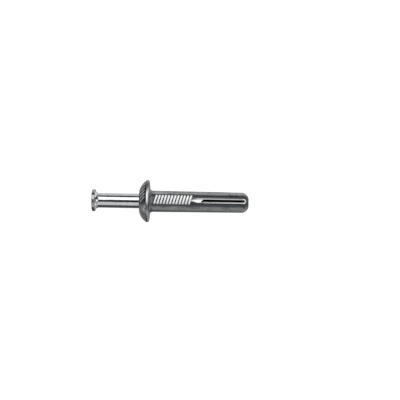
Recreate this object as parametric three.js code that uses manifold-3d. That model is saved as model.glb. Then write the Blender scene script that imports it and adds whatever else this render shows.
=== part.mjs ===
// A hammer-drive wall anchor: a die-cast sleeve with a mushroom head and two expansion legs,
// and the steel drive nail that is hammered home to spread the legs behind the wall's face.
//
// Millimetres. +X runs along the anchor towards its nose, the slot opens towards +Z and -Z,
// and the origin is the centre of the head's flat underside, which bears on the wall.

import * as THREE from "three";
import { mergeVertices } from "three/addons/utils/BufferGeometryUtils.js";
import Module from "manifold-3d";

const wasm = await Module();
wasm.setup();

// Mushroom head of the casting
const headRadius = 6.8;
const headThickness = 3.4;
const rimBand = 0.2; // straight band round the widest part of the head
const rimRound = 0.6; // rounding between that band and the underside
const domeShoulder = { back: 0.27, out: 0.68 }; // the dome's shoulder, as shares of its depth and width
const headFillet = 0.8; // under the head, where the shank leaves it

// Shank of the casting
const shankRadius = 3.4; // just under the head
const shankDraft = 0.18; // the radius it has lost at the nose
const shankLength = 31.75;
const sleeveLength = 16.4; // the unslit part, from the underside to the legs' roots
const noseLength = 2; // the rounded end
const noseShoulder = { back: 0.75, in: 0.16 }; // its shoulder, as a share of its length and a depth
const noseFlatRadius = 1.3;

// Slot between the legs
const slotWidth = 0.7;
const noseWeb = 1.25; // the thin skin that closes the slot at the nose
const lipChamfer = 0.5;
const rampLength = 3.2; // how far the lips run out into the sleeve
const splitGap = 0.05; // hairline at the legs' roots and through the nose web

// Drive nail
const nailRadius = 2.35;
const nailHeadRadius = 3.55;
const nailHeadThickness = 1.1;
const nailNeckFlare = 0.8; // how far the neck widens under the nail's head
const nailNeckLength = 1.2;
const nailPointLength = 2.2;
const nailPointRadius = 0.9;
const nailEdge = 0.15; // rounding of the nail head's two edges

// Clearances
const boreClearance = 0.05; // between the nail and the bore, on the radius
const neckClearance = 0.1; // between the neck and its countersink
const seatClearance = 0.05; // between the driven nail's head and the casting
const seatMargin = 0.15; // flat left outside the nail's head
const pointClearance = 0.2; // between the resting nail's point and the legs' roots
const webClearance = 0.5; // between the driven nail's point and the nose web

// Motion
const legSpreadDeg = 3; // how far each leg has opened when the nail is home

// Raised cast marks
const markHeight = 0.15;
const markWidth = 0.5;
const markPitch = 1;
const markSpan = 2.8; // the length of a mark across the shank
const markSlant = 0.8; // how far its two ends are offset along the shank
const panelDepth = 0.15; // the flat that the marks stand on, below the shank's surface
const panelMargin = 1.3; // from the head's underside, and from where the lips run out
const ribWidth = 0.3;
const ribPitch = 0.85;
const ribCount = 6;
const ribRise = 0.12;

// Fineness
const aroundSegments = 48;
const curveSegments = 8;
const boreSteps = 10;

// Worked out from the above
const noseRadius = shankRadius - shankDraft;
const slotEnd = shankLength - noseWeb;
const rampStart = sleeveLength - rampLength;
const boreRadius = nailRadius + boreClearance;
const headFlatRadius = nailHeadRadius + seatMargin;
const nailNeckRadius = nailRadius + Math.min(nailNeckFlare, 0.7 * (nailHeadRadius - nailRadius));
const nailPointAtRest = sleeveLength - pointClearance;
const driveTravel = slotEnd - webClearance - nailPointAtRest;
const nailStandOff = driveTravel + seatClearance; // under the nail's head, at rest
const nailLength = nailPointAtRest + headThickness + nailStandOff + nailHeadThickness;
const legSpread = THREE.MathUtils.degToRad(legSpreadDeg);
const rootRadius = shankRadiusAt(sleeveLength);
const rootWall = rootRadius - boreRadius;
const lipDepth = Math.min(lipChamfer, 0.6 * rootWall);

const castZinc = new THREE.MeshStandardMaterial({ color: 0x6f7577, roughness: 0.5, metalness: 0.9 });
const platedSteel = new THREE.MeshStandardMaterial({ color: 0xc9cfd2, roughness: 0.25, metalness: 1 });

function shankRadiusAt(x) {
  return shankRadius - (shankDraft * x) / shankLength;
}

// A closed three.js geometry as a solid that can be joined and cut.
function solidOf(geometry) {
  const bare = geometry.index ? geometry.toNonIndexed() : geometry.clone();
  bare.deleteAttribute("normal");
  bare.deleteAttribute("uv");
  const merged = mergeVertices(bare, 1e-4);
  return new wasm.Manifold(
    new wasm.Mesh({
      numProp: 3,
      vertProperties: merged.attributes.position.array,
      triVerts: new Uint32Array(merged.index.array),
    }),
  );
}

function geometryOf(solid) {
  const mesh = solid.getMesh();
  const geometry = new THREE.BufferGeometry();
  geometry.setAttribute("position", new THREE.BufferAttribute(mesh.vertProperties, 3));
  geometry.setIndex(new THREE.BufferAttribute(mesh.triVerts, 1));
  geometry.computeVertexNormals();
  return geometry;
}

// The solid turned from an outline of [x, radius] points, which starts and ends on the axis
// or closes on itself, with x along the anchor.
function turned(outline) {
  const points = outline.map(([x, radius]) => new THREE.Vector2(radius, x));
  return solidOf(new THREE.LatheGeometry(points, aroundSegments).rotateZ(-Math.PI / 2));
}

function arcPoints(x, radius, size, fromDeg, toDeg) {
  const [from, to] = [fromDeg, toDeg].map(THREE.MathUtils.degToRad);
  const arc = new THREE.EllipseCurve(x, radius, size, size, from, to, to < from);
  return arc.getPoints(curveSegments).map((p) => [p.x, p.y]);
}

function bentPoints(from, corner, to) {
  const [a, b, c] = [from, corner, to].map((p) => new THREE.Vector2(...p));
  return new THREE.QuadraticBezierCurve(a, b, c).getPoints(curveSegments).map((p) => [p.x, p.y]);
}

// A flat outline of [x, y] points, extruded from one height to another.
function prism(outline, low, high) {
  const shape = new THREE.Shape(outline.map((p) => new THREE.Vector2(...p)));
  const geometry = new THREE.ExtrudeGeometry(shape, { depth: high - low, bevelEnabled: false });
  return solidOf(geometry.translate(0, 0, low));
}

function block([x0, x1], [y0, y1], [z0, z1]) {
  const box = new THREE.BoxGeometry(x1 - x0, y1 - y0, z1 - z0);
  return solidOf(box.translate((x0 + x1) / 2, (y0 + y1) / 2, (z0 + z1) / 2));
}

// The outside of the casting from the head's flat face to the nose, grown outwards by a rise.
function castingOutline(rise = 0) {
  const front = -headThickness - rise;
  const bandStart = -rimRound - rimBand;
  const rim = headRadius + rise;
  const shoulder = [
    THREE.MathUtils.lerp(front, bandStart, domeShoulder.back),
    THREE.MathUtils.lerp(headFlatRadius, rim, domeShoulder.out),
  ];
  const noseStart = shankLength - noseLength;
  const noseCorner = [noseStart + noseShoulder.back * noseLength, noseRadius + rise - noseShoulder.in];
  return [
    [front, 0],
    ...bentPoints([front, headFlatRadius], shoulder, [bandStart, rim]),
    ...arcPoints(-rimRound, rim - rimRound, rimRound, 90, 0),
    ...arcPoints(headFillet, shankRadius + rise + headFillet, headFillet, 180, 270),
    ...bentPoints([noseStart, noseRadius + rise], noseCorner, [shankLength, noseFlatRadius]),
    [shankLength, 0],
  ];
}

// The bore, its countersunk mouth and the step where the nail's neck seats.
function sleeveBore() {
  const front = -headThickness;
  return turned([
    [front - 1, 0],
    [front - 1, nailNeckRadius + neckClearance],
    [front, nailNeckRadius + neckClearance],
    [front + nailNeckLength + neckClearance, boreRadius],
    [sleeveLength + 1, boreRadius],
    [sleeveLength + 1, 0],
  ]);
}

// The slot's straight cut, with its closed end rounded.
function slotOutline(grow) {
  const half = slotWidth / 2 + grow;
  const end = arcPoints(slotEnd - slotWidth / 2, 0, half, -90, 90);
  return [[sleeveLength - 1, -half], ...end, [sleeveLength - 1, half]];
}

// The bevel along the slot's lips, on one side: a cut that widens steadily as it rises.
function lipBevel() {
  const shape = new THREE.Shape(slotOutline(0).map((p) => new THREE.Vector2(...p)));
  const grown = { bevelThickness: 1, bevelSize: 1, bevelSegments: 1 };
  const cut = new THREE.ExtrudeGeometry(shape, { depth: 1, ...grown });
  return solidOf(cut.translate(0, 0, rootRadius - lipDepth + 1));
}

// The shallow groove in which the slot's lips run out to the sleeve's surface, on the +Z side.
function lipRamp() {
  const width = slotWidth + 2 * lipDepth;
  const surface = shankRadiusAt(rampStart);
  const floor = rootRadius - lipDepth;
  const side = [
    [rampStart, surface + 1],
    [rampStart, surface],
    [sleeveLength, floor],
    [sleeveLength + 1, floor],
    [sleeveLength + 1, surface + 1],
  ];
  const shape = new THREE.Shape(side.map((p) => new THREE.Vector2(...p)));
  const wedge = new THREE.ExtrudeGeometry(shape, { depth: width, bevelEnabled: false });
  return solidOf(wedge.translate(0, 0, -width / 2).rotateX(Math.PI / 2));
}

function bothSides(solid) {
  return solid.add(solid.rotate([180, 0, 0]));
}

// Slanted bars on a shallow flat, in line with the slot.
function markBars() {
  const first = panelMargin + markSlant / 2 + markWidth;
  const last = rampStart - panelMargin - markSlant / 2 - markWidth;
  const count = Math.floor((last - first) / markPitch) + 1;
  const [half, lean] = [markSpan / 2, markSlant / 2];
  const bars = Array.from({ length: count }, (_, i) => {
    const x = first + i * markPitch;
    return prism(
      [
        [x - lean, -half],
        [x - lean + markWidth, -half],
        [x + lean + markWidth, half],
        [x + lean, half],
      ],
      boreRadius + 0.2,
      shankRadius + 1,
    );
  });
  return bars.reduce((all, bar) => all.add(bar));
}

function markPanel() {
  const flat = shankRadius - panelDepth;
  return block([panelMargin, rampStart - panelMargin / 2], [-markSpan, markSpan], [flat, headRadius]);
}

// Slanted ribs on the dome of the head, on the +Z side.
function domeRibs() {
  const [low, high] = [-headThickness + 0.5, -rimRound - rimBand - 0.1];
  const run = high - low;
  const ribs = Array.from({ length: ribCount }, (_, i) => {
    const y = -1.4 + i * ribPitch;
    return prism(
      [
        [low, y],
        [high, y + run],
        [high, y + run + ribWidth],
        [low, y + ribWidth],
      ],
      shankRadius,
      headRadius + 1,
    );
  });
  return ribs.reduce((all, rib) => all.add(rib));
}

// The head and the unslit sleeve.
function anchorBody() {
  const behindRoots = block([sleeveLength, shankLength + 1], [-9, 9], [-9, 9]);
  const marks = turned(castingOutline(markHeight)).intersect(markBars());
  const ribs = turned(castingOutline(ribRise)).intersect(domeRibs());
  const body = turned(castingOutline())
    .subtract(markPanel())
    .add(marks)
    .add(ribs)
    .subtract(sleeveBore())
    .subtract(bothSides(lipRamp()))
    .subtract(behindRoots);
  return geometryOf(body);
}

// The space for the nail between the legs. It closes in on the nail's path with the square of the
// distance from the roots, so that the point wedges the legs open and the nail never bites them.
function legBore() {
  const closing = Math.tan(legSpread) / driveTravel;
  const length = slotEnd - webClearance / 2 - sleeveLength;
  const path = new THREE.QuadraticBezierCurve3(
    new THREE.Vector3(sleeveLength, 0, 0),
    new THREE.Vector3(sleeveLength + length / 2, 0, 0),
    new THREE.Vector3(sleeveLength + length, closing * length ** 2, 0),
  );
  const circle = new THREE.Shape().absarc(0, 0, boreRadius, 0, 2 * Math.PI);
  const tube = { steps: boreSteps, curveSegments: aroundSegments, extrudePath: path };
  const mouth = turned([
    [sleeveLength - 1, 0],
    [sleeveLength - 1, boreRadius],
    [sleeveLength + splitGap, boreRadius],
    [sleeveLength + splitGap, 0],
  ]);
  return solidOf(new THREE.ExtrudeGeometry(circle, tube)).add(mouth);
}

// The leg on the -Y side, with its hinge, which is on the skin at its root, moved to the origin.
function expansionLeg() {
  const beforeRoot = block([-headThickness - 1, sleeveLength + splitGap], [-9, 9], [-9, 9]);
  const otherHalf = block([0, shankLength + 1], [-splitGap / 2, 9], [-9, 9]);
  const leg = turned(castingOutline())
    .subtract(beforeRoot)
    .subtract(otherHalf)
    .subtract(prism(slotOutline(0), -headRadius, headRadius))
    .subtract(bothSides(lipBevel()))
    .subtract(legBore());
  return geometryOf(leg).translate(-sleeveLength, rootRadius, 0);
}

// The nail, turned with its point at the origin and its head towards -X.
function driveNail() {
  const back = -nailLength;
  const under = back + nailHeadThickness;
  const geometry = new THREE.LatheGeometry(
    [
      [back, 0],
      [back, nailHeadRadius - nailEdge],
      [back + nailEdge, nailHeadRadius],
      [under - nailEdge, nailHeadRadius],
      [under, nailHeadRadius - nailEdge],
      ...bentPoints(
        [under, nailNeckRadius],
        [under + nailNeckLength / 3, nailRadius],
        [under + nailNeckLength, nailRadius],
      ),
      [-nailPointLength, nailRadius],
      [0, nailPointRadius],
      [0, 0],
    ].map(([x, radius]) => new THREE.Vector2(radius, x)),
    aroundSegments,
  );
  return geometry;
}

function part(name, geometry, material) {
  const mesh = new THREE.Mesh(geometry, material);
  mesh.name = name;
  return mesh;
}

const anchor = new THREE.Group();
anchor.add(part("anchor_body", anchorBody(), castZinc));

const frontLeg = part("front_leg", expansionLeg(), castZinc);
frontLeg.position.set(sleeveLength, -rootRadius, 0);
anchor.add(frontLeg);

const backLeg = part("back_leg", expansionLeg(), castZinc);
backLeg.position.set(sleeveLength, rootRadius, 0);
backLeg.rotation.x = Math.PI;
anchor.add(backLeg);

const nail = part("drive_nail", driveNail(), platedSteel);
nail.position.x = nailPointAtRest;
nail.rotation.z = -Math.PI / 2;
anchor.add(nail);

export default anchor;
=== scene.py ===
# A hammer-drive wall anchor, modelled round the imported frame: the die-cast sleeve with its mushroom
# head and two expansion legs, and the plated drive nail that stands out of the head.
import math

import bpy
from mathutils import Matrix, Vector


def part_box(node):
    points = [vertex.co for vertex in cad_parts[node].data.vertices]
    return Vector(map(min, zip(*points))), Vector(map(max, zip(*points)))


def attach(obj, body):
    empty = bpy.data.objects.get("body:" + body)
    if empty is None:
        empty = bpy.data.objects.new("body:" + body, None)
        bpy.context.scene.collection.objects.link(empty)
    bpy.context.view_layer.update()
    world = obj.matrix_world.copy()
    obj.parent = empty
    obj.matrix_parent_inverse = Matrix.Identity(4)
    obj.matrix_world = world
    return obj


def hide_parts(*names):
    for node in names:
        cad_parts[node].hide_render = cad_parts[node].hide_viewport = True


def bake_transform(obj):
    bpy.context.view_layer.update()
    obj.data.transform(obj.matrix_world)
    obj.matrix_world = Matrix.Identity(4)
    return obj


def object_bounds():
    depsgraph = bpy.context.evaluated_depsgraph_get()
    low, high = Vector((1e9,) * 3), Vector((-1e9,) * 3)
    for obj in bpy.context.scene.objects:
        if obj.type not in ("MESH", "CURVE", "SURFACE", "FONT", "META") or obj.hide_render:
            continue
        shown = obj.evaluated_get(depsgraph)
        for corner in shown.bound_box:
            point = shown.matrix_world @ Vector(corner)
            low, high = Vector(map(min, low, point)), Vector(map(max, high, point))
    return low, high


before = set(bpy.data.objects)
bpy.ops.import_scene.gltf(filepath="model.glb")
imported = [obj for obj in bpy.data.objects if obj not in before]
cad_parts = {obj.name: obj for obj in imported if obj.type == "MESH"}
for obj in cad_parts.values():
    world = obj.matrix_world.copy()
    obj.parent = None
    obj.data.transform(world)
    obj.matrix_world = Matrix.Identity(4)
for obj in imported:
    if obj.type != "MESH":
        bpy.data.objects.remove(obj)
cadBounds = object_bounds()

# Pieces are modelled at one unit to the millimetre, and brought to metres when they are done.
perMetre = 1000.0
smoothUpTo = 40    # degrees: a sharper edge than this stays crisp
overrun = 1.0      # how far a cutter reaches past what it cuts


def nodeBox(name):
    low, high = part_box(name)
    return low * perMetre, high * perMetre


sleeveLow, sleeveHigh = nodeBox("anchor_body")
noseX = nodeBox("front_leg")[1].x
nailLow, nailHigh = nodeBox("drive_nail")
rootX = sleeveHigh.x    # where the legs leave the sleeve
print("frame loaded: sleeve to", round(rootX, 2), "mm, nose at", round(noseX, 2), "mm")


def activate(piece):
    bpy.ops.object.select_all(action="DESELECT")
    piece.select_set(True)
    bpy.context.view_layer.objects.active = piece


def editAll():
    bpy.ops.object.mode_set(mode="EDIT")
    bpy.ops.mesh.select_mode(type="VERT")
    bpy.ops.mesh.select_all(action="SELECT")


def drawChain(name, points):
    # one vertex, extruded from point to point, left in edit mode
    bpy.ops.object.select_all(action="DESELECT")
    bpy.ops.mesh.primitive_plane_add(size=1)
    piece = bpy.context.object
    piece.name = name
    editAll()
    bpy.ops.mesh.merge(type="CENTER")
    last = (0, 0, 0)
    for index, point in enumerate(points):
        step = tuple(p - q for p, q in zip(point, last))
        if index == 0:
            bpy.ops.transform.translate(value=step)
        else:
            bpy.ops.mesh.extrude_region_move(TRANSFORM_OT_translate={"value": step})
        last = point
    return piece


def tidyShell():
    # weld the seams and poles, then turn the faces outwards
    bpy.ops.mesh.select_all(action="SELECT")
    bpy.ops.mesh.remove_doubles(threshold=0.001)
    bpy.ops.mesh.normals_make_consistent(inside=False)
    bpy.ops.object.mode_set(mode="OBJECT")


def turn(name, outline, steps=128):
    # the outline of (x, radius) points, spun round the anchor's axis
    piece = drawChain(name, [(x, 0, radius) for x, radius in outline])
    bpy.ops.mesh.select_all(action="SELECT")
    bpy.ops.mesh.spin(steps=steps, angle=math.tau, center=(0, 0, 0), axis=(1, 0, 0))
    tidyShell()
    return piece


def prism(name, outline, low, high):
    # the flat outline of (x, y) points, raised from one height to another
    piece = drawChain(name, [(x, y, low) for x, y in outline])
    bpy.ops.mesh.select_all(action="SELECT")
    bpy.ops.mesh.edge_face_add()
    bpy.ops.mesh.extrude_region_move(TRANSFORM_OT_translate={"value": (0, 0, high - low)})
    tidyShell()
    return piece


def shift(piece, step):
    activate(piece)
    editAll()
    bpy.ops.transform.translate(value=step)
    bpy.ops.object.mode_set(mode="OBJECT")


def repeatAlong(piece, step, count):
    activate(piece)
    editAll()
    for _ in range(count - 1):
        bpy.ops.mesh.duplicate_move(TRANSFORM_OT_translate={"value": step})
    bpy.ops.object.mode_set(mode="OBJECT")


def combine(piece, tool, operation):
    activate(piece)
    cut = piece.modifiers.new("combine", "BOOLEAN")
    cut.operation, cut.solver, cut.object = operation, "EXACT", tool
    bpy.ops.object.modifier_apply(modifier=cut.name)
    bpy.data.objects.remove(tool, do_unlink=True)


def copyOf(piece, name):
    activate(piece)
    bpy.ops.object.duplicate()
    copy = bpy.context.object
    copy.name = name
    return copy


def keepSide(piece, point, normal):
    # everything that the normal points away from stays, and the cut is closed
    activate(piece)
    editAll()
    bpy.ops.mesh.bisect(plane_co=point, plane_no=normal, use_fill=True, clear_outer=True)
    bpy.ops.object.mode_set(mode="OBJECT")


def bringToMetres(piece):
    activate(piece)
    editAll()
    bpy.ops.transform.resize(value=(1 / perMetre,) * 3, center_override=(0, 0, 0))
    bpy.ops.object.mode_set(mode="OBJECT")
    bpy.ops.object.shade_smooth_by_angle(angle=math.radians(smoothUpTo))


def lerp(a, b, share):
    return a + (b - a) * share


def arc(x, radius, size, fromDegrees, toDegrees, steps=10):
    # a round stretch of outline about the point (x, radius)
    turned = toDegrees - fromDegrees
    angles = [math.radians(fromDegrees + turned * i / steps) for i in range(steps + 1)]
    return [(x + size * math.cos(a), radius + size * math.sin(a)) for a in angles]


def bend(start, corner, end, steps=12):
    # a smooth curve from start to end, pulled towards the corner
    shares = [i / steps for i in range(steps + 1)]
    return [
        tuple((1 - t) ** 2 * s + 2 * t * (1 - t) * c + t * t * e for s, c, e in zip(start, corner, end))
        for t in shares
    ]


casting = {
    "shankRadius": 3.4,      # just under the head
    "draft": 0.18,           # the radius it has lost at the nose
    "headFlat": 3.8,         # radius of the head's face, which is almost flat
    "faceCrown": 0.25,
    "rimRound": 0.6,
    "rimBand": 0.2,          # the rim's straight part, before it rounds over
    "domeShoulder": (0.29, 0.64),    # shares of the way to the rim, along and outwards, that pull its curve
    "headFillet": 1.15,
    "noseLength": 2.0,       # the rounded end
    "noseShoulder": (0.75, 0.16),    # share of the nose's length, and mm inwards, that pull its curve
    "noseFlat": 1.3,
    "partingRise": 0.05,     # the fine flash line where the two dies met
    "partingWidth": 0.16,
    "voxel": 0.1,
    "softening": 3,          # smoothing passes, which round the cast edges
    "softeningShare": 0.5,
    "seamBack": 0.2,         # from the legs' roots to where the three pieces part, in the unslit sleeve
    "bendLength": 3.0,       # how much of each leg takes up its bend
}
bandStart = -casting["rimRound"] - casting["rimBand"]


def shankRadiusAt(x):
    return casting["shankRadius"] - casting["draft"] * x / noseX


def castingOutline(rise=0.0):
    front = sleeveLow.x - rise
    faceEdge = front + casting["faceCrown"]
    rim = sleeveHigh.y + rise
    back, out = casting["domeShoulder"]
    shoulder = (lerp(faceEdge, bandStart, back), lerp(casting["headFlat"], rim, out))
    fillet = casting["headFillet"]
    noseStart = noseX - casting["noseLength"]
    noseRadius = casting["shankRadius"] - casting["draft"] + rise
    noseBack, noseIn = casting["noseShoulder"]
    return [
        (front, 0),
        *bend((faceEdge, casting["headFlat"]), shoulder, (bandStart, rim)),
        *arc(-casting["rimRound"], rim - casting["rimRound"], casting["rimRound"], 90, 0),
        *arc(fillet, casting["shankRadius"] + rise + fillet, fillet, 180, 270),
        *bend(
            (noseStart, noseRadius),
            (noseStart + noseBack * casting["noseLength"], noseRadius - noseIn),
            (noseX + rise, casting["noseFlat"]),
        ),
        (noseX + rise, 0),
    ]


def partingLine():
    upper = castingOutline(casting["partingRise"])
    lower = [(x, -radius) for x, radius in reversed(upper[1:-1])]
    half = casting["partingWidth"] / 2
    return prism("partingLine", upper[1:-1] + lower, -half, half)


slot = {
    "width": 0.82,
    "noseSkin": 1.25,     # left whole beyond the slot's end
    "startSlant": 0.9,    # how much later the slot starts at its +Y lip
    "lipWidth": 0.34,
    "lipSlope": 20,       # degrees
    "lipShift": 0.07,     # makes the +Y lip steeper than the -Y one
    "runOutLength": 3.2,
    "runOutPoint": 2.2,   # the part of it that narrows to a point
}
slotEnd = noseX - slot["noseSkin"]


def slotCutter():
    half = slot["width"] / 2
    outline = [
        (rootX, -half),
        *arc(slotEnd - half, 0, half, -90, 90),
        (rootX + slot["startSlant"], half),
    ]
    return prism("slotCutter", outline, -sleeveHigh.y, sleeveHigh.y)


def lipCutter():
    half = slot["width"] / 2 + slot["lipWidth"]
    tip = rootX - slot["runOutLength"]
    top = math.sqrt(shankRadiusAt(slotEnd) ** 2 - half ** 2)
    outline = [
        (tip, 0),
        (tip + slot["runOutPoint"], -half),
        *arc(slotEnd - slot["width"] / 2, 0, half, -90, 90),
        (tip + slot["runOutPoint"], half),
    ]
    cutter = prism("lipCutter", outline, top, top + overrun)
    activate(cutter)
    bpy.ops.object.mode_set(mode="EDIT")
    bpy.ops.mesh.select_mode(type="FACE")
    bpy.ops.mesh.select_all(action="DESELECT")
    bpy.ops.object.mode_set(mode="OBJECT")
    for face in cutter.data.polygons:
        face.select = face.normal.z < -0.9    # its underside
    bpy.ops.object.mode_set(mode="EDIT")
    depth = slot["lipWidth"] * math.tan(math.radians(slot["lipSlope"]))
    bpy.ops.mesh.inset(thickness=slot["lipWidth"], depth=depth)
    bpy.ops.transform.translate(value=(0, slot["lipShift"], 0))
    bpy.ops.object.mode_set(mode="OBJECT")
    return cutter


def turnedOver(piece, name):
    copy = copyOf(piece, name)
    editAll()
    bpy.ops.transform.rotate(value=math.pi, orient_axis="X", center_override=(0, 0, 0))
    bpy.ops.object.mode_set(mode="OBJECT")
    return copy


marks = {
    "first": 1.75,       # from the head's underside to the first bar
    "pitch": 1.0,
    "count": 12,
    "width": 0.6,
    "span": 2.85,
    "aside": 0.14,       # the row stands a little off centre
    "slant": 0.8,
    "rise": 0.12,
    "crown": 12.0,       # radius that the bars' tops follow
    "rooted": 0.7,       # how deep the bars reach into the shank
    "panelDepth": 0.1,
    "panelSpan": 3.6,
    "panelRound": 0.6,
}


def crownedCore(name, topAt):
    # a wide drum along the shank, whose top is at this height over the anchor's axis
    radius = marks["crown"]
    drum = turn(name, [(-overrun, 0), (-overrun, radius), (noseX, radius), (noseX, 0)])
    shift(drum, (0, 0, topAt - radius))
    return drum


def markPanel():
    start = marks["first"] - marks["slant"]
    end = marks["first"] + marks["count"] * marks["pitch"] + marks["slant"] / 2
    half, corner = marks["panelSpan"] / 2, marks["panelRound"]
    outline = [
        *arc(end - corner, half - corner, corner, 90, 0, 4),
        *arc(end - corner, corner - half, corner, 0, -90, 4),
        *arc(start + corner, corner - half, corner, -90, -180, 4),
        *arc(start + corner, half - corner, corner, 180, 90, 4),
    ]
    panel = prism("markPanel", outline, 0, sleeveHigh.y)
    combine(panel, crownedCore("panelCore", casting["shankRadius"] - marks["panelDepth"]), "DIFFERENCE")
    return panel


def markBars():
    half, lean = marks["span"] / 2, marks["slant"] / 2
    x, width = marks["first"], marks["width"]
    low, high = marks["aside"] - half, marks["aside"] + half
    outline = [(x - lean, low), (x - lean + width, low), (x + lean + width, high), (x + lean, high)]
    bars = prism("markBars", outline, casting["shankRadius"] - marks["rooted"], sleeveHigh.y)
    repeatAlong(bars, (marks["pitch"], 0, 0), marks["count"])
    combine(bars, crownedCore("barCrown", casting["shankRadius"] + marks["rise"]), "INTERSECT")
    return bars


ribs = {
    "count": 5,
    "width": 0.42,
    "pitch": 1.1,
    "firstY": -1.1,
    "rise": 0.3,
    "rooted": 0.5,
    "fromFace": 0.75,    # from the head's face, and from its rim's band, to the ribs' ends
    "fromBand": 0.4,
}


def domeRibs():
    low = sleeveLow.x + ribs["fromFace"]
    high = bandStart - ribs["fromBand"]
    run, y, width = high - low, ribs["firstY"], ribs["width"]
    outline = [(low, y), (high, y + run), (high, y + run + width), (low, y + width)]
    bars = prism("domeRibs", outline, casting["shankRadius"] - ribs["rooted"], sleeveHigh.y + overrun)
    repeatAlong(bars, (0, ribs["pitch"], 0), ribs["count"])
    combine(bars, turn("grownHead", castingOutline(ribs["rise"])), "INTERSECT")
    return bars


bore = {
    "radius": 2.4,
    "mouth": 3.25,        # countersink for the nail's neck
    "mouthDepth": 1.3,
    "mouthPull": 0.3,     # share of that depth by which the countersink has mostly closed in
    "closing": 0.0038,    # how fast the legs' walls close in, per mm squared
    "endSkin": 0.25,      # left between the bore and the slot's end
    "steps": 10,
    "sides": 96,
}


def boreCutter():
    front = sleeveLow.x
    return turn("boreCutter", [
        (front - overrun, 0),
        (front - overrun, bore["mouth"]),
        (front, bore["mouth"]),
        *bend(
            (front, bore["mouth"]),
            (front + bore["mouthPull"] * bore["mouthDepth"], bore["radius"]),
            (front + bore["mouthDepth"], bore["radius"]),
        )[1:],
        (rootX, bore["radius"]),
        (rootX, 0),
    ])


def legBoreCutter(side):
    # a ring drawn out along the leg, which closes in on the nail's path with the distance squared
    length = slotEnd - bore["endSkin"] - rootX
    bpy.ops.object.select_all(action="DESELECT")
    bpy.ops.mesh.primitive_circle_add(vertices=bore["sides"], radius=bore["radius"], fill_type="NGON",
                                      location=(rootX - overrun, 0, 0), rotation=(0, math.pi / 2, 0))
    piece = bpy.context.object
    piece.name = "legBoreCutter"
    editAll()
    bpy.ops.mesh.extrude_region_move(TRANSFORM_OT_translate={"value": (overrun, 0, 0)})
    step = length / bore["steps"]
    for index in range(bore["steps"]):
        inwards = bore["closing"] * step * step * (2 * index + 1)
        bpy.ops.mesh.extrude_region_move(TRANSFORM_OT_translate={"value": (step, -side * inwards, 0)})
    tidyShell()
    bpy.ops.object.transform_apply(location=True, rotation=True, scale=True)
    return piece


def castWhole():
    whole = turn("casting", castingOutline())
    combine(whole, markPanel(), "DIFFERENCE")
    combine(whole, markBars(), "UNION")
    combine(whole, domeRibs(), "UNION")
    combine(whole, partingLine(), "UNION")
    topLips = lipCutter()
    combine(whole, turnedOver(topLips, "undersideLips"), "DIFFERENCE")
    combine(whole, topLips, "DIFFERENCE")
    combine(whole, slotCutter(), "DIFFERENCE")
    activate(whole)
    skin = whole.modifiers.new("skin", "REMESH")
    skin.mode, skin.voxel_size, skin.adaptivity = "VOXEL", casting["voxel"], 0
    bpy.ops.object.modifier_apply(modifier=skin.name)
    soften = whole.modifiers.new("soften", "SMOOTH")
    soften.factor, soften.iterations = casting["softeningShare"], casting["softening"]
    bpy.ops.object.modifier_apply(modifier=soften.name)
    combine(whole, boreCutter(), "DIFFERENCE")
    return whole


seamX = rootX - casting["seamBack"]
castBody = castWhole()
print("casting remeshed:", len(castBody.data.polygons), "faces")

legs = {}
for legName, side in (("frontLegCast", -1), ("backLegCast", 1)):
    leg = copyOf(castBody, legName)
    keepSide(leg, (seamX, 0, 0), (-1, 0, 0))
    keepSide(leg, (0, 0, 0), (0, -side, 0))
    combine(leg, legBoreCutter(side), "DIFFERENCE")
    legs[legName] = leg
castBody.name = "castBody"
keepSide(castBody, (seamX, 0, 0), (1, 0, 0))
for piece in (castBody, *legs.values()):
    bringToMetres(piece)
    piece.data.name = piece.name
    print(piece.name, "made,", len(piece.data.polygons), "faces")


nail = {
    "radius": 2.35,
    "headThickness": 1.1,
    "headRound": 0.28,
    "faceCrown": 0.06,
    "faceFlat": 0.6,      # share of the head's radius that is flat
    "neckRadius": 3.15,
    "neckLength": 1.2,
    "pointLength": 2.2,
    "pointRadius": 0.9,
    "pointPull": (0.4, 0.85),    # shares of the point's length and of the nail's radius that pull its curve
    "shankStretches": 4,
    "gripFirst": 0.4,
    "gripPitch": 0.42,
    "gripCount": 2,
    "gripWidth": 0.2,
    "gripLength": 1.3,
    "gripRise": 0.02,     # how far the notches' floors stand off the nail's shank
    "edgeRound": 0.03,
    "edgeFrom": 30,       # degrees: the edges sharper than this are rounded
    "sides": 160,
}


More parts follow.
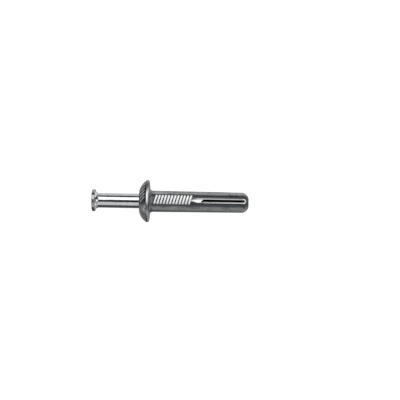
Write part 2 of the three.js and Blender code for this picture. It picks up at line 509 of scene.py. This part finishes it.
def driveNail():
    back, tip = nailLow.x, nailHigh.x
    under = back + nail["headThickness"]
    head, edge = nailHigh.y, nail["headRound"]
    crowned = back + nail["faceCrown"]
    stretches = nail["shankStretches"]
    pullAlong, pullOut = nail["pointPull"]
    outline = [
        (back, 0),
        *bend((back, nail["faceFlat"] * head), (back, head - edge), (crowned, head - edge), 6),
        *arc(crowned + edge, head - edge, edge, 180, 90, 6),
        *arc(under - edge, head - edge, edge, 90, 30, 5),
        *bend(
            (under, nail["neckRadius"]),
            (under + nail["neckLength"] / 3, nail["radius"]),
            (under + nail["neckLength"], nail["radius"]),
        ),
        *[(lerp(under + nail["neckLength"], tip - nail["pointLength"], i / stretches), nail["radius"])
          for i in range(1, stretches)],
        *bend(
            (tip - nail["pointLength"], nail["radius"]),
            (tip - (1 - pullAlong) * nail["pointLength"], pullOut * nail["radius"]),
            (tip, nail["pointRadius"]),
        ),
        (tip, 0),
    ]
    piece = turn("driveNailPlated", outline, nail["sides"])
    # the wire is gripped under its head while the head is struck, which leaves short notches
    half, low = nail["gripLength"] / 2, nail["radius"] + nail["gripRise"]
    start = under + nail["gripFirst"]
    end = start + nail["gripWidth"]
    notch = [(start, -half), (end, -half), (end, half), (start, half)]
    notches = prism("gripNotches", notch, low, low + overrun)
    repeatAlong(notches, (nail["gripPitch"], 0, 0), nail["gripCount"])
    combine(piece, turnedOver(notches, "undersideNotches"), "DIFFERENCE")
    combine(piece, notches, "DIFFERENCE")
    activate(piece)
    edges = piece.modifiers.new("edges", "BEVEL")
    edges.width, edges.segments, edges.limit_method = nail["edgeRound"], 2, "ANGLE"
    edges.angle_limit = math.radians(nail["edgeFrom"])
    bpy.ops.object.modifier_apply(modifier=edges.name)
    bringToMetres(piece)
    return piece


nailPiece = driveNail()
print("nail made,", len(nailPiece.data.polygons), "faces")

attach(castBody, "anchor")
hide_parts("anchor_body")
for legName, body in (("frontLegCast", "front_leg"), ("backLegCast", "back_leg")):
    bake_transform(legs[legName])
    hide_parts(body)    # each leg's body is named as its node is
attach(nailPiece, "nail")
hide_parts("drive_nail")
print("pieces placed on their bodies")


class Signal:
    # a node's output: arithmetic on it adds Math nodes, and node() adds any other node
    def __init__(self, tree, socket=None):
        self.tree, self.socket = tree, socket

    def node(self, kind, settings=None, inputs=None, output=0):
        made = self.tree.nodes.new(kind)
        for key, value in (settings or {}).items():
            if key != "stops":
                setattr(made, key, value)
                continue
            stops = made.color_ramp.elements
            while len(stops) < len(value):
                stops.new(0.5)
            for stop, (place, level) in zip(stops, value):
                stop.position, stop.color = place, (level, level, level, 1)
        for key, value in (inputs or {}).items():
            if isinstance(value, Signal):
                self.tree.links.new(value.socket, made.inputs[key])
            else:
                made.inputs[key].default_value = value
        return Signal(self.tree, made.outputs[output])

    def out(self, name):
        return Signal(self.tree, self.socket.node.outputs[name])

    def math(self, operation, first, second=0.0):
        return self.node("ShaderNodeMath", {"operation": operation}, {0: first, 1: second})

    def __add__(self, other):
        return self.math("ADD", self, other)

    def __sub__(self, other):
        return self.math("SUBTRACT", self, other)

    def __rsub__(self, other):
        return self.math("SUBTRACT", other, self)

    def __mul__(self, other):
        return self.math("MULTIPLY", self, other)

    def __truediv__(self, other):
        return self.math("DIVIDE", self, other)

    def __abs__(self):
        return self.math("ABSOLUTE", self)

    def power(self, exponent):
        return self.math("POWER", self, exponent)

    def step(self, low, high):
        # rises smoothly from 0 at low to 1 at high, and falls where high is the smaller
        return self.node("ShaderNodeMapRange", {"interpolation_type": "SMOOTHSTEP"},
                         {"Value": self, "From Min": low, "From Max": high})

    __radd__, __rmul__ = __add__, __mul__


def mixColour(signal, share, first, second):
    settings = {"data_type": "RGBA", "blend_type": "MIX"}
    return signal.node("ShaderNodeMix", settings, {0: share, 6: first, 7: second}, 2)


def millimetres(signal):
    place = signal.node("ShaderNodeTexCoord", output="Object")
    return signal.node("ShaderNodeVectorMath", {"operation": "SCALE"}, {0: place, "Scale": perMetre})


def axesOf(place):
    split = place.node("ShaderNodeSeparateXYZ", None, {0: place})
    return split.out("X"), split.out("Y"), split.out("Z")


def noise(place, scale, detail=3.0, stretch=None):
    if stretch:
        place = place.node("ShaderNodeVectorMath", {"operation": "MULTIPLY"}, {0: place, 1: stretch})
    return place.node("ShaderNodeTexNoise", None, {"Vector": place, "Scale": scale, "Detail": detail})


def newMaterial(name, finish):
    material = bpy.data.materials.new(name)
    material.use_nodes = True
    shader = material.node_tree.nodes["Principled BSDF"]
    shader.inputs["Metallic"].default_value = finish["metallic"]
    return material, shader, Signal(material.node_tree)


def feed(signal, shader, name):
    signal.tree.links.new(signal.socket, shader.inputs[name])


def bump(height, strength, distance):
    # the distance is in mm
    return height.node("ShaderNodeBump", None,
                       {"Strength": strength, "Distance": distance / perMetre, "Height": height})


castFinish = {
    "metallic": 1.0,
    # the dark end of the random tone, and also the colour of painted shade
    "dull": (0.09, 0.097, 0.105, 1),
    "grey": (0.34, 0.355, 0.37, 1),
    # the colour of the painted highlight on the flanks and low on the dome
    "paintedHighlightGrey": (0.72, 0.74, 0.75, 1),
    # worn bright on the raised tops, which also carry a painted highlight, as do the rim, lips and run-out
    "wornAndHighlight": (0.97, 0.97, 0.97, 1),
    # the colour of painted shade inside the slot and bore, and of a painted dark reflection line on the dome
    "paintedDark": (0.02, 0.02, 0.022, 1),
    "flow": 0.55,      # sizes of the three patterns, per mm
    "speck": 2.4,
    "grain": 7.0,
    "mottle": (0.44, 0.7),
    "roughness": 0.22,
}

# Where the casting gets painted shade, painted highlights and wear, in mm: each mask rises from its first
# number to its second.
castWearAndPaintedLight = {
    # the flanks are rougher, and carry a painted highlight
    "upperFlank": (1.7, 2.1),
    "lowerFlank": (-1.7, -2.2),
    "flankStreak": (2.4, 0.45, 0.15),      # where the painted light line lies, then how far it fades
    "lowFlankLight": (-2.1, -2.9),
    "besideSlot": (2.1, 1.6),
    "besideAside": 0.15,                   # how far towards -Y that strip of painted shade is centred
    "topAndUnder": (2.0, 2.6),
    "shoulderOut": (-3.0, -3.15),
    "shoulderUp": (0.5, 1.1),
    "raised": (-0.02, -0.09),              # depth under the shank's surface: below 0 it stands proud
    "raisedUp": (2.6, 2.9),
    "lipEdge": (0.06, -0.02),              # past the lips' own width
    "lipDepth": (0.62, 0.5),
    "lipTop": (0.02, 0.08),
    "lipStart": 0.2,                       # how far they take to brighten from the run-out's tip
    # painted shade inside the slot and bore
    "paintedShadeInside": (0.6, 0.8),
    "paintedShadeEnd": (0.3, 0.5),                 # back from the nose
    "rimAlong": (-0.85, -0.55),
    "rimOut": (6.0, 6.3),
    # the rim's painted highlight: where its band is centred, and how far it fades
    "rimBright": (0.8, 3.4, 1.4),
    "rimLow": (-3.4, -4.4),
    "dome": (-0.85, -1.05),
    "ribTops": (0.04, 0.16),
    "ribFieldUp": (3.0, 4.0),
    "ribFieldLow": (-2.0, -1.4),
    "ribFieldHigh": (5.0, 4.2),
    "lowDome": (-1.5, -3.0),
    # the painted dark reflection line behind the rim
    "darkLineAlong": (-1.6, -1.25),
    "darkLineEnd": (-0.6, -0.8),
    "darkLineLow": (-1.6, -0.6),
    "darkLineHigh": (4.8, 2.8),
}


def fadeFrom(signal, centre, far, near):
    # 1 round the centre, and 0 further from it than far
    return abs(signal - centre).step(far, near)


def domeRadiusAt(x):
    # the head's curve again, as the shader needs it: the share along the bend, then its radius
    back, out = casting["domeShoulder"]
    faceEdge = sleeveLow.x + casting["faceCrown"]
    along = (x - faceEdge) / (bandStart - faceEdge)
    share = ((along * (1 - 2 * back) + back * back).power(0.5) - back) / (1 - 2 * back)
    outwards = 2 * out * share + (1 - 2 * out) * share * share
    return casting["headFlat"] + (sleeveHigh.y - casting["headFlat"]) * outwards


def shankWearAndHighlightMasks(x, y, z, depth, onShank):
    # the raised marks, and the slot's lips with their run-out
    raised = depth.step(*castWearAndPaintedLight["raised"]) * onShank * z.step(*castWearAndPaintedLight["raisedUp"])
    half = slot["width"] / 2 + slot["lipWidth"]
    lipsFrom, lipsEnd = rootX - slot["runOutLength"], slotEnd - slot["width"] / 2
    pastEnd = x.math("MAXIMUM", x - lipsEnd, 0.0)
    fromSlot = (pastEnd * pastEnd + y * y).power(0.5)
    outside, inside = castWearAndPaintedLight["lipEdge"]
    lips = fromSlot.step(half + outside, half + inside) * x.step(lipsFrom, lipsFrom + castWearAndPaintedLight["lipStart"])
    return raised, lips * depth.step(*castWearAndPaintedLight["lipDepth"]) * depth.step(*castWearAndPaintedLight["lipTop"])


def castZinc():
    material, shader, s = newMaterial("castZincGrey", castFinish)
    place = millimetres(s)
    x, y, z = axesOf(place)
    radius = (y * y + z * z).power(0.5)
    depth = casting["shankRadius"] - casting["draft"] / noseX * x - radius
    onShank = x.step(casting["headFillet"] - 0.3, casting["headFillet"] + 0.1)
    onDome = x.step(*castWearAndPaintedLight["dome"])
    flow = noise(place, castFinish["flow"], 4, (0.4, 1, 1))
    grain = noise(place, castFinish["grain"], 3)
    speck = noise(place, castFinish["speck"], 2, (0.5, 1, 1))
    tone = (flow * 0.45 + speck * 0.5 + grain * 0.2).step(*castFinish["mottle"])

    # painted shade beside the slot and the marks, and a painted highlight down the flanks
    flank = (y.step(*castWearAndPaintedLight["upperFlank"]) + y.step(*castWearAndPaintedLight["lowerFlank"])) * onShank
    # painted shade in a strip beside the slot, on top and underneath
    beside = fadeFrom(y, -castWearAndPaintedLight["besideAside"], *castWearAndPaintedLight["besideSlot"])
    beside = beside * abs(z).step(*castWearAndPaintedLight["topAndUnder"]) * onShank
    colour = mixColour(s, tone * (1 - 0.9 * beside), castFinish["dull"], castFinish["grey"])
    lightLow = y.step(*castWearAndPaintedLight["lowFlankLight"]) * 0.55
    light = 0.12 + tone * 0.3 + lightLow + fadeFrom(y, *castWearAndPaintedLight["flankStreak"]) * 0.35
    colour = mixColour(s, flank * light, colour, castFinish["paintedHighlightGrey"])
    # painted shade along the upper edge of the -Y flank
    shoulder = y.step(*castWearAndPaintedLight["shoulderOut"]) * z.step(*castWearAndPaintedLight["shoulderUp"]) * onShank
    colour = mixColour(s, shoulder * (0.45 + 0.4 * tone), colour, castFinish["dull"])

    # the head's dome: duller all over, painted shade between its ribs, a painted highlight low down, and a
    # painted dark reflection line behind the rim
    ribField = y.step(*castWearAndPaintedLight["ribFieldLow"]) * y.step(*castWearAndPaintedLight["ribFieldHigh"])
    ribField = ribField * z.step(*castWearAndPaintedLight["ribFieldUp"]) * onDome
    lowDome = y.step(*castWearAndPaintedLight["lowDome"]) * onDome
    paintedDarkLine = x.step(*castWearAndPaintedLight["darkLineAlong"]) * x.step(*castWearAndPaintedLight["darkLineEnd"])
    paintedDarkLine = paintedDarkLine * y.step(*castWearAndPaintedLight["darkLineLow"]) * y.step(*castWearAndPaintedLight["darkLineHigh"])
    colour = mixColour(s, onDome * 0.35 + ribField * 0.5, colour, castFinish["dull"])
    colour = mixColour(s, lowDome * (tone * 0.3 + 0.1), colour, castFinish["paintedHighlightGrey"])
    colour = mixColour(s, paintedDarkLine * 0.85, colour, castFinish["paintedDark"])

    # the tops of the marks and ribs are worn bright and carry a painted highlight; the rim, the slot's lips
    # and their run-out carry a painted highlight
    raised, lips = shankWearAndHighlightMasks(x, y, z, depth, onShank)
    # a painted highlight on the head's rim, strongest near its middle and again low down
    rim = x.step(*castWearAndPaintedLight["rimAlong"]) * radius.step(*castWearAndPaintedLight["rimOut"])
    rim = rim * (fadeFrom(y, *castWearAndPaintedLight["rimBright"]) * 0.9 + y.step(*castWearAndPaintedLight["rimLow"]) * 0.4)
    ribTops = (radius - domeRadiusAt(x)).step(*castWearAndPaintedLight["ribTops"]) * onDome
    wornAndHighlight = (raised + lips + rim + ribTops * 0.5) * grain.step(0.12, 0.36)
    colour = mixColour(s, s.math("MINIMUM", wornAndHighlight, 1.0), colour, castFinish["wornAndHighlight"])

    # and painted shade darkens the slot and bore inside
    endFrom, endTo = castWearAndPaintedLight["paintedShadeEnd"]
    paintedShadeInside = depth.step(*castWearAndPaintedLight["paintedShadeInside"]) * onShank * x.step(noseX - endFrom, noseX - endTo)
    feed(mixColour(s, paintedShadeInside, colour, castFinish["paintedDark"]), shader, "Base Color")
    rough = castFinish["roughness"] + grain * 0.1 + flow * 0.08 + raised * 0.14 + flank * 0.22
    feed(rough, shader, "Roughness")
    feed(bump(grain * 0.5 + speck * 0.9, 0.35, 0.06), shader, "Normal")
    return material


plateFinish = {
    "metallic": 1.0,
    "bright": (0.84, 0.86, 0.87, 1),
    "cool": (0.70, 0.74, 0.75, 1),
    "struck": (0.46, 0.475, 0.48, 1),    # the rim of the head, where the blow thinned the plating
    "struckAlong": (0.15, -0.05),        # past the head's underside
    "struckOut": (2.9, 3.3),
    "nick": (0.05, 0.052, 0.055, 1),
    "nickAt": (1.75, 0.35),              # from the nail's outer end and from its axis
    "nickSize": (0.62, 0.35),
    "drawn": 5.0,                        # fine lines along the wire, per mm
    "mottle": 1.3,
    "roughness": 0.045,
}


def platedSteel():
    material, shader, s = newMaterial("platedSteelBright", plateFinish)
    place = millimetres(s)
    drawn = noise(place, plateFinish["drawn"], 3, (0.12, 1, 1))
    mottle = noise(place, plateFinish["mottle"], 3, (0.6, 1, 1))
    colour = mixColour(s, mottle.step(0.35, 0.65), plateFinish["cool"], plateFinish["bright"])
    x, y, z = axesOf(place)
    under = nailLow.x + nail["headThickness"]
    past, short = plateFinish["struckAlong"]
    onRim = (y * y + z * z).power(0.5).step(*plateFinish["struckOut"])
    colour = mixColour(s, x.step(under + past, under + short) * onRim, colour, plateFinish["struck"])
    nickX, nickY = plateFinish["nickAt"]
    along, aside = x - (nailLow.x + nickX), y - nickY
    nick = (along * along + aside * aside).power(0.5).step(*plateFinish["nickSize"])
    nick = nick * z.step(0.2, 0.6) * mottle.step(0.3, 0.5)    # patchy, and on the upper side only
    feed(mixColour(s, nick, colour, plateFinish["nick"]), shader, "Base Color")
    feed(plateFinish["roughness"] + drawn * 0.06 + mottle * 0.04, shader, "Roughness")
    feed(bump(drawn * 0.4 + mottle * 2.0, 0.2, 0.05), shader, "Normal")
    return material


castMaterial, nailMaterial = castZinc(), platedSteel()
for piece in (castBody, *legs.values()):
    piece.data.materials.clear()
    piece.data.materials.append(castMaterial)
nailPiece.data.materials.append(nailMaterial)
print("materials made")


studio = {
    "lens": 85.0,
    "distance": 0.3027,
    "tilt": 8.0,             # degrees off straight down
    "roll": 1.0,
    "aimAside": 0.00066,
    "panelSize": 1.2,
    "panelPower": 14.0,
    "panelHeight": 0.7,
    "paperSize": 3.0,
    "paperShades": ((0.10, 0.10, 0.10, 1), (0.12, 0.12, 0.12, 1)),
    "paperFibre": 900.0,
    "paperRoughness": 0.9,
    "paperGlow": 0.92,       # the paper is lit from behind, which hides the shadow
    "cardsAt": (-0.04, 0.24, 0.16),              # where the cards stand, and how far they fade out
    "boxLow": 0.25,          # the soft boxes' share of their level past their ends
    "boxEnds": ((-0.65, -0.45), (0.8, 0.6)),
    "endLight": (0.14, 0.75),    # past the soft boxes: along the axis, and out to the sides
    "endAlong": (0.75, 0.9),
    "endAside": (0.1, 0.45),
    "belowLight": 0.25,
    "belowAlong": (0.4, 0.6),
    "belowDown": (0.05, -0.15),
}

# The soft boxes round the anchor's axis: degrees from overhead towards +Y, and level. Square to the axis,
# black cards stand between them, which give bare metal its dark lines.
openRing = [
    (-180, 0.40), (-164, 0.36), (-146, 0.20), (-92, 0.25), (-83, 0.62), (-62, 0.70), (-52, 0.30),
    (-32, 0.25), (-20, 1.15), (46, 1.30), (54, 0.20), (76, 0.20), (86, 0.62), (140, 0.66), (160, 0.40),
    (180, 0.40),
]
cardRing = [
    (-180, 0.40), (-164, 0.36), (-146, 0.12), (-134, 0.07), (-89, 0.07), (-80, 0.62), (-50, 0.70),
    (-34, 0.60), (-27, 0.01), (1, 0.01), (6, 1.40), (46, 1.40), (51, 0.04), (73, 0.04), (82, 0.62),
    (140, 0.66), (160, 0.40), (180, 0.40),
]


def ringLevel(turnShare, ring):
    brightest = max(level for _, level in ring)
    stops = [((degrees + 180) / 360, level / brightest) for degrees, level in ring]
    ramp = turnShare.node("ShaderNodeValToRGB", {"stops": stops}, {0: turnShare})
    return turnShare.node("ShaderNodeRGBToBW", None, {0: ramp}) * brightest


def studioWorld():
    world = bpy.data.worlds.new("softStudio")
    bpy.context.scene.world = world
    world.use_nodes = True
    background = world.node_tree.nodes["Background"]
    background.inputs["Color"].default_value = (1, 1, 1, 1)
    s = Signal(world.node_tree)
    along, aside, up = axesOf(s.node("ShaderNodeTexCoord", output="Generated"))
    turnShare = s.math("ARCTAN2", aside, up) / math.tau + 0.5
    cards = fadeFrom(along, *studio["cardsAt"])
    level = ringLevel(turnShare, openRing) * (1 - cards) + ringLevel(turnShare, cardRing) * cards
    leftEnd, rightEnd = studio["boxEnds"]
    between = along.step(*leftEnd) * along.step(*rightEnd)
    boxes = studio["boxLow"] + (1 - studio["boxLow"]) * between
    alongAxis, toSides = studio["endLight"]
    past = abs(along).step(*studio["endAlong"]) * (alongAxis + abs(aside).step(*studio["endAside"]) * toSides)
    below = abs(along).step(*studio["belowAlong"]) * up.step(*studio["belowDown"]) * studio["belowLight"]
    seen = s.node("ShaderNodeLightPath", output="Is Camera Ray")    # the background itself is plain white
    feed((level * boxes + past + below) * (1 - seen) + seen, background, "Strength")


def keyLight():
    bpy.ops.object.light_add(type="AREA", location=(0, 0, studio["panelHeight"]))
    light = bpy.context.object
    light.name = "overheadPanel"
    light.data.size, light.data.energy = studio["panelSize"], studio["panelPower"]
    light.visible_glossy = False    # it whitens the paper and stays out of the metal


def paperFloor():
    bpy.ops.mesh.primitive_grid_add(size=studio["paperSize"], location=(0, 0, cadBounds[0].z))
    floor = bpy.context.object
    floor.name = "paperFloor"
    material, shader, s = newMaterial("whitePaper", {"metallic": 0.0})
    fibre = noise(s.node("ShaderNodeTexCoord", output="Object"), studio["paperFibre"], 2)
    feed(mixColour(s, fibre, *studio["paperShades"]), shader, "Base Color")
    shader.inputs["Roughness"].default_value = studio["paperRoughness"]
    shader.inputs["Emission Color"].default_value = (1, 1, 1, 1)
    shader.inputs["Emission Strength"].default_value = studio["paperGlow"]
    floor.data.materials.append(material)
    floor.visible_glossy = False


def studioCamera():
    tilt, roll = math.radians(studio["tilt"]), math.radians(studio["roll"])
    aim = Vector((seamX / perMetre, studio["aimAside"], 0))
    back = Vector((math.sin(roll) * math.sin(tilt), -math.cos(roll) * math.sin(tilt), math.cos(tilt)))
    bpy.ops.object.camera_add(location=aim + back * studio["distance"], rotation=(tilt, 0, roll))
    camera = bpy.context.object
    camera.data.lens, camera.data.clip_start = studio["lens"], 0.01
    bpy.context.scene.camera = camera


studioWorld()
keyLight()
paperFloor()
studioCamera()
bpy.context.scene.view_settings.view_transform = "Standard"
print("studio set")
